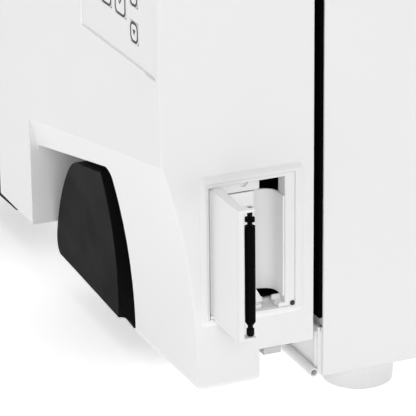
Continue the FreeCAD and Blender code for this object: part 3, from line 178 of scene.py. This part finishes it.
def circuit_finish(name):
    """Solder mask with copper runs and pads."""
    t = Tree(name)
    brick = t.node("ShaderNodeTexBrick", Vector=t.stretched((1.0, 1.0, 1.0)), Scale=260.0)
    brick.inputs["Mortar Size"].default_value = 0.06
    cells = t.node("ShaderNodeTexVoronoi", Vector=t.coords, Scale=420.0)
    pads = t.spread(cells.outputs["Distance"], 1.0, 0.0, 0.10, 0.16)
    mask = t.mix(brick.outputs["Fac"], (0.018, 0.11, 0.05, 1.0), (0.03, 0.19, 0.08, 1.0))
    t.feed(t.shader.inputs["Base Color"], t.mix(pads, mask, (0.62, 0.58, 0.46, 1.0)))
    t.feed(t.shader.inputs["Roughness"], t.spread(t.noise(80.0), 0.28, 0.42))
    t.feed(t.shader.inputs["Normal"], t.bump(cells.outputs["Distance"], 0.0001, 0.3))
    return t.material


def felt_finish(name):
    """Needled glass felt."""
    t = Tree(name)
    fibre = t.noise(700.0, 6.0, (1.0, 0.25, 1.0), 0.7)
    lumps = t.noise(60.0, 3.0)
    body = t.mix(t.spread(fibre, 0.0, 1.0), (0.50, 0.48, 0.42, 1.0), (0.78, 0.76, 0.70, 1.0))
    body = t.mix(t.spread(lumps, 0.0, 0.3), body, (0.60, 0.57, 0.48, 1.0))
    t.feed(t.shader.inputs["Base Color"], body)
    t.feed(t.shader.inputs["Roughness"], t.spread(fibre, 0.85, 1.0))
    t.feed(t.shader.inputs["Normal"], t.bump(fibre, 0.0006, 0.8))
    t.shader.inputs["Sheen Weight"].default_value = 0.3
    return t.material


WHITE = (0.865, 0.865, 0.868)
MATERIAL = {
    "white_plastic": finish_of("WhitePlastic", WHITE, 0.36, specular=0.42, tint=0.012, edge=0.0007,
                               grain=1500.0, grain_deep=0.00001, wear=0.02),
    "painted_steel": finish_of("PowderCoat", (0.868, 0.868, 0.872), 0.40, specular=0.42, tint=0.012,
                               grain=1100.0, grain_deep=0.00003, grain_strength=0.3, edge=0.0007,
                               wear=0.03),
    "grey_plastic": finish_of("GreyPlastic", (0.52, 0.53, 0.54), 0.45, tint=0.03),
    "black_plastic": finish_of("BlackPlastic", (0.0055, 0.0055, 0.006), 0.5, specular=0.03,
                               tint=0.2, grain=1300.0, grain_deep=0.00003, edge=0.0012,
                               wear=0.0),
    "black_gloss": finish_of("BlackGloss", (0.012, 0.012, 0.013), 0.18, specular=0.45, tint=0.2,
                             grain=600.0, grain_deep=0.00001, rough_spread=0.04),
    "gear_plastic": finish_of("Acetal", (0.80, 0.79, 0.75), 0.38, tint=0.03, edge=0.0002),
    "tank_plastic": finish_of("Polythene", (0.74, 0.77, 0.79), 0.42, tint=0.05, grain=300.0,
                              grain_deep=0.0001, edge=0.002, transmission=0.25),
    "filter_plastic": finish_of("FilterBody", (0.78, 0.80, 0.82), 0.25, tint=0.02),
    "membrane": finish_of("Membrane", (0.872, 0.872, 0.878), 0.42, specular=0.4, tint=0.012,
                          grain=2200.0, grain_deep=0.00002, edge=0.0004),
    "key_membrane": finish_of("KeyMembrane", (0.872, 0.872, 0.878), 0.40, specular=0.4, tint=0.012,
                              grain=2200.0, grain_deep=0.00002, edge=0.0008),
    "display": finish_of("DisplayGlass", (0.012, 0.016, 0.018), 0.08, specular=0.5, tint=0.15,
                         tint_scale=30.0, grain=200.0, grain_deep=0.000005, rough_spread=0.03,
                         coat=0.6, coat_rough=0.03),
    "stainless": finish_of("Stainless", (0.60, 0.60, 0.61), 0.24, metallic=1.0, tint=0.06,
                           grain=240.0, grain_deep=0.00003, grain_strength=0.35,
                           stretch=(1.0, 12.0, 1.0), rough_spread=0.07, edge=0.0008, wear=0.4),
    "steel": finish_of("BrightSteel", (0.53, 0.53, 0.55), 0.30, metallic=1.0, tint=0.08,
                       grain=350.0, grain_deep=0.00003, stretch=(1.0, 1.0, 9.0), edge=0.0005,
                       wear=0.4),
    "chrome_wire": finish_of("PlatedWire", (0.72, 0.72, 0.74), 0.14, metallic=1.0, tint=0.05),
    "aluminium": finish_of("Aluminium", (0.70, 0.70, 0.72), 0.34, metallic=1.0, tint=0.06,
                           grain=420.0, grain_deep=0.00003, stretch=(1.0, 7.0, 1.0), edge=0.0005,
                           wear=0.35),
    "brass": finish_of("Brass", (0.74, 0.56, 0.26), 0.26, metallic=1.0, tint=0.12, tint_scale=40.0,
                       grain=300.0, grain_deep=0.00002, edge=0.0004, wear=0.35),
    "pump_casting": finish_of("PaintedCasting", (0.10, 0.11, 0.12), 0.5, tint=0.2, grain=260.0,
                              grain_deep=0.0003, grain_strength=0.5, edge=0.001, wear=0.2),
    "insulation": felt_finish("GlassFelt"),
    "silicone": finish_of("Silicone", (0.66, 0.64, 0.60), 0.42, tint=0.05, grain=500.0),
    "black_rubber": finish_of("BlackRubber", (0.002, 0.002, 0.002), 0.85, specular=0.02, tint=0.3,
                              grain=800.0, grain_deep=0.00005, edge=0.0),
    "platen_rubber": finish_of("PlatenRubber", (0.002, 0.002, 0.0022), 0.6, specular=0.03, tint=0.3,
                               grain=900.0, grain_deep=0.00003, stretch=(1.0, 1.0, 0.3), edge=0.0),
    "white_rubber": finish_of("WhiteElastomer", (0.80, 0.80, 0.80), 0.55, specular=0.35, tint=0.03,
                              grain=700.0, grain_deep=0.00005, edge=0.001, wear=0.06),
    "light_rubber": finish_of("GreyElastomer", (0.60, 0.60, 0.61), 0.6, tint=0.05, grain=700.0),
    "circuit_board": circuit_finish("SolderMask"),
}
# the paper bucket is painted a lighter white than the other white plastic: painted light that
# brightens its shaded recess
BUCKET_PAINTED_LIGHT = finish_of("BucketPaintedLight", (0.95, 0.95, 0.952), 0.40, specular=0.42, tint=0.008,
                     edge=0.0005, grain=1500.0, grain_deep=0.00001, wear=0.0)
for name, obj in NODES.items():
    for slot in obj.material_slots:
        slot.material = MATERIAL[SLOT_OF[name]]
    if not obj.material_slots:
        obj.data.materials.append(MATERIAL[SLOT_OF[name]])
# painted light: the lighter white stands in for light reaching into the bucket's recess
for slot in NODES["paper_bucket"].material_slots:
    slot.material = BUCKET_PAINTED_LIGHT


# ---------------------------------------------------------------- printed keys

def outline(wide, high, radius, steps=6):
    """Corner points of a rounded rectangle round the origin, anticlockwise."""
    points = []
    for quarter in range(4):
        sx = 1 if quarter in (0, 3) else -1
        sz = 1 if quarter in (0, 1) else -1
        cx, cz = sx * (wide / 2 - radius), sz * (high / 2 - radius)
        for i in range(steps + 1):
            turn = math.radians(90.0 * quarter + 90.0 * i / steps)
            points.append((cx + radius * math.cos(turn), cz + radius * math.sin(turn)))
    return points


def fixed_to(node, name, bm, material):
    """Make a bmesh a piece that rides with a node's body and has its material slot."""
    bmesh.ops.recalc_face_normals(bm, faces=bm.faces)
    mesh = bpy.data.meshes.new(name)
    bm.to_mesh(mesh)
    bm.free()
    piece = bpy.data.objects.new(name, mesh)
    COLLECTION.objects.link(piece)
    mesh.materials.append(material)
    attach(piece, BODY_OF[node])


def ink_ring(bm, points, center, y, step):
    """Vertices of a closed outline at depth y, each moved away from its middle by step."""
    middle = Vector((sum(x for x, z in points), sum(z for x, z in points))) / len(points)
    ring = []
    for x, z in points:
        move = (Vector((x, z)) - middle).normalized() * step
        ring.append(bm.verts.new(at(center[0] + x + move.x, y, center[1] + z + move.y)))
    return ring


def printed(name, outer, inner, center, node):
    """Ink on a key, raised a little and with eased edges: a filled outline, or a band."""
    bm = bmesh.new()
    layers = []
    for y, ease in ((0.0, 0.0), (-0.6 * INK_THICK, 0.0), (-INK_THICK, INK_EASE)):
        layer = [ink_ring(bm, outer, center, KEY_FACE + y, -ease)]
        if inner:
            layer.append(ink_ring(bm, inner, center, KEY_FACE + y, ease))
        layers.append(layer)
    pairs = [(i, (i + 1) % len(outer)) for i in range(len(outer))]
    for low, high in zip(layers, layers[1:]):
        for i, j in pairs:
            bm.faces.new((low[0][i], low[0][j], high[0][j], high[0][i]))
            if inner:
                bm.faces.new((low[1][j], low[1][i], high[1][i], high[1][j]))
    for layer, way in ((layers[0], -1), (layers[-1], 1)):
        if inner:
            for i, j in pairs:
                bm.faces.new((layer[0][i], layer[0][j], layer[1][j], layer[1][i])[::way])
        else:
            bm.faces.new(layer[0][::way])
    fixed_to(node, name, bm, INK)


INK = finish_of("KeyInk", (0.012, 0.012, 0.013), 0.42, specular=0.3, tint=0.25, grain=2400.0,
                grain_deep=0.00002, edge=0.0)
TICK = [(-2.4, 0.1), (-0.6, -1.9), (2.6, 1.7), (1.9, 2.3), (-0.6, -0.5), (-1.7, 0.8)]
BACK_ARROW = [(-2.8, 0.0), (-0.2, -2.3), (-0.2, -0.8), (2.7, -0.8), (2.7, 0.8), (-0.2, 0.8),
              (-0.2, 2.3)]
UP_ARROW = [(-2.1, -1.5), (2.1, -1.5), (0.0, 1.9)]
DOWN_ARROW = [(-2.1, 1.6), (0.0, -1.8), (2.1, 1.6)]
# middle in X and Z, width, height and sign of each key
KEYS = {
    "back_key": (-78.3, 239.8, 16.0, 15.6, BACK_ARROW),
    "ok_key": (-56.7, 239.8, 16.6, 16.6, TICK),
    "up_key": (-36.4, 248.4, 11.6, 12.4, UP_ARROW),
    "down_key": (-36.4, 227.4, 11.6, 12.4, DOWN_ARROW),
}
# depth of the keys' faces, and how thick and how eased the ink on them is
KEY_FACE = 0.55
INK_THICK = 0.08
INK_EASE = 0.07
# how much less wide than its key a border is outside and inside, and its corner radii
RING_LESS, RING_RADIUS = 0.3, 4.0
HOLE_LESS, HOLE_RADIUS = 3.4, 2.6
for key, (x, z, wide, high, sign) in KEYS.items():
    border = outline(wide - RING_LESS, high - RING_LESS, RING_RADIUS)
    inside = outline(wide - HOLE_LESS, high - HOLE_LESS, HOLE_RADIUS)
    printed(key + "_ring", border, inside, (x, z), key)
    printed(key + "_sign", sign, None, (x, z), key)


# ---------------------------------------------------------------- painted highlight bead on the border of the keypad's foil

# the bead's section: how far into the foil, and how deep
BEAD_SECTION = ((-1.5, -0.02), (-1.1, -0.26), (-0.5, -0.22), (0.0, 0.10), (0.25, 0.62),
                (0.3, 0.78), (-0.6, 0.74), (-1.5, 0.02))


def painted_highlight_bead(name, corners, inward, node):
    """A bead painted lighter than the plastic round it, a painted highlight along the foil's open
    edges; it is also tilted so that it faces up and forward.

    corners run along the edge in X and Z; inward is the step from the edge into the foil.
    """
    bm = bmesh.new()
    rings = []
    for (x, z), (ix, iz) in zip(corners, inward):
        rings.append([bm.verts.new(at(x + across * ix, y, z + across * iz))
                      for across, y in BEAD_SECTION])
    for first, second in zip(rings, rings[1:]):
        for i in range(len(BEAD_SECTION)):
            j = (i + 1) % len(BEAD_SECTION)
            bm.faces.new((first[i], first[j], second[j], second[i]))
    bm.faces.new(rings[0][::-1])
    bm.faces.new(rings[-1])
    fixed_to(node, name, bm, HIGHLIGHT_BEAD_FINISH)


# painted highlight: a lighter white than the plastic, so the bead shows as a bright edge line
HIGHLIGHT_BEAD_FINISH = finish_of("PaintedHighlightBead", (0.93, 0.93, 0.93), 0.38, specular=0.45, tint=0.008, edge=0.0004,
                   grain=1800.0, grain_deep=0.00001, wear=0.0)
painted_highlight_bead("KeypadHighlightBead", [(-117.9, 339.6), (-117.9, 209.6), (-20.0, 209.6)],
            [(1.0, 0.0), (1.0, 1.0), (0.0, 1.0)], "control_panel")


# ---------------------------------------------------------------- camera, light, floor

CAMERA_PLACE = Vector((1.44567, -0.78894, 0.64566))
CAMERA_TURN = math.radians(66.955)
CAMERA_DIP = math.radians(21.240)
CAMERA_ROLL = math.radians(-0.687)
CAMERA_LENS = 221.25
# name, place, the point it faces, width, height and power
SOFT_BOXES = (
    ("Key", (2.6, -0.9, 1.2), (0.1, -0.1, 0.15), 0.9, 0.9, 15.0),
    ("Front", (-0.8, -2.9, 1.0), (0.0, -0.3, 0.25), 1.2, 1.2, 10.0),
    ("Top", (0.1, 0.0, 2.4), (0.1, 0.0, 0.0), 2.2, 2.2, 22.0),
)
SKY_STRENGTH = 0.35
FLOOR_RADIUS = 14.0
FLOOR_DROP = 0.0006
FLOOR_GLOW = 0.44


def build_camera():
    """The camera: turned from straight ahead, dipped, and rolled a little."""
    turn, dip, roll = CAMERA_TURN, CAMERA_DIP, CAMERA_ROLL
    ahead = Vector((-math.sin(turn) * math.cos(dip), math.cos(turn) * math.cos(dip),
                    -math.sin(dip)))
    right = Vector((math.cos(turn), math.sin(turn), 0.0))
    up = right.cross(ahead)
    across = right * math.cos(roll) + up * math.sin(roll)
    upward = up * math.cos(roll) - right * math.sin(roll)
    data = bpy.data.cameras.new("Camera")
    data.sensor_width = 36.0
    data.lens = CAMERA_LENS
    data.clip_start = 0.05
    data.clip_end = 60.0
    camera = bpy.data.objects.new("Camera", data)
    COLLECTION.objects.link(camera)
    rotation = Matrix((across, upward, -ahead)).transposed().to_4x4()
    camera.matrix_world = Matrix.Translation(CAMERA_PLACE) @ rotation
    bpy.context.scene.camera = camera


def soft_box(name, place, aim, wide, high, power):
    data = bpy.data.lights.new(name, "AREA")
    data.shape = "RECTANGLE"
    data.size = wide
    data.size_y = high
    data.energy = power
    lamp = bpy.data.objects.new(name, data)
    COLLECTION.objects.link(lamp)
    lamp.location = place
    lamp.rotation_mode = "QUATERNION"
    lamp.rotation_quaternion = (Vector(aim) - Vector(place)).to_track_quat("-Z", "Y")


def build_studio():
    """Soft lights round the part and a pale floor that gives off some light of its own."""
    world = bpy.data.worlds.new("Studio")
    bpy.context.scene.world = world
    world.use_nodes = True
    sky = world.node_tree.nodes["Background"]
    sky.inputs["Color"].default_value = (1.0, 1.0, 1.0, 1.0)
    sky.inputs["Strength"].default_value = SKY_STRENGTH
    for row in SOFT_BOXES:
        soft_box(*row)
    mesh = bpy.data.meshes.new("Floor")
    bm = bmesh.new()
    bmesh.ops.create_circle(bm, cap_ends=True, segments=96, radius=FLOOR_RADIUS)
    bm.to_mesh(mesh)
    bm.free()
    floor = bpy.data.objects.new("Floor", mesh)
    COLLECTION.objects.link(floor)
    floor.location = (0.0, 0.0, -FLOOR_DROP)
    t = Tree("PaleFloor")
    speck = t.spread(t.noise(3.0, 2.0), 0.0, 1.0)
    t.feed(t.shader.inputs["Base Color"],
           t.mix(speck, (0.97, 0.97, 0.97, 1.0), (0.985, 0.985, 0.985, 1.0)))
    t.feed(t.shader.inputs["Roughness"], t.spread(t.noise(40.0), 0.75, 0.9))
    t.shader.inputs["Specular IOR Level"].default_value = 0.2
    t.shader.inputs["Emission Color"].default_value = (1.0, 1.0, 1.0, 1.0)
    t.shader.inputs["Emission Strength"].default_value = FLOOR_GLOW
    floor.data.materials.append(t.material)
    bpy.context.scene.view_settings.view_transform = "Standard"


build_camera()
build_studio()
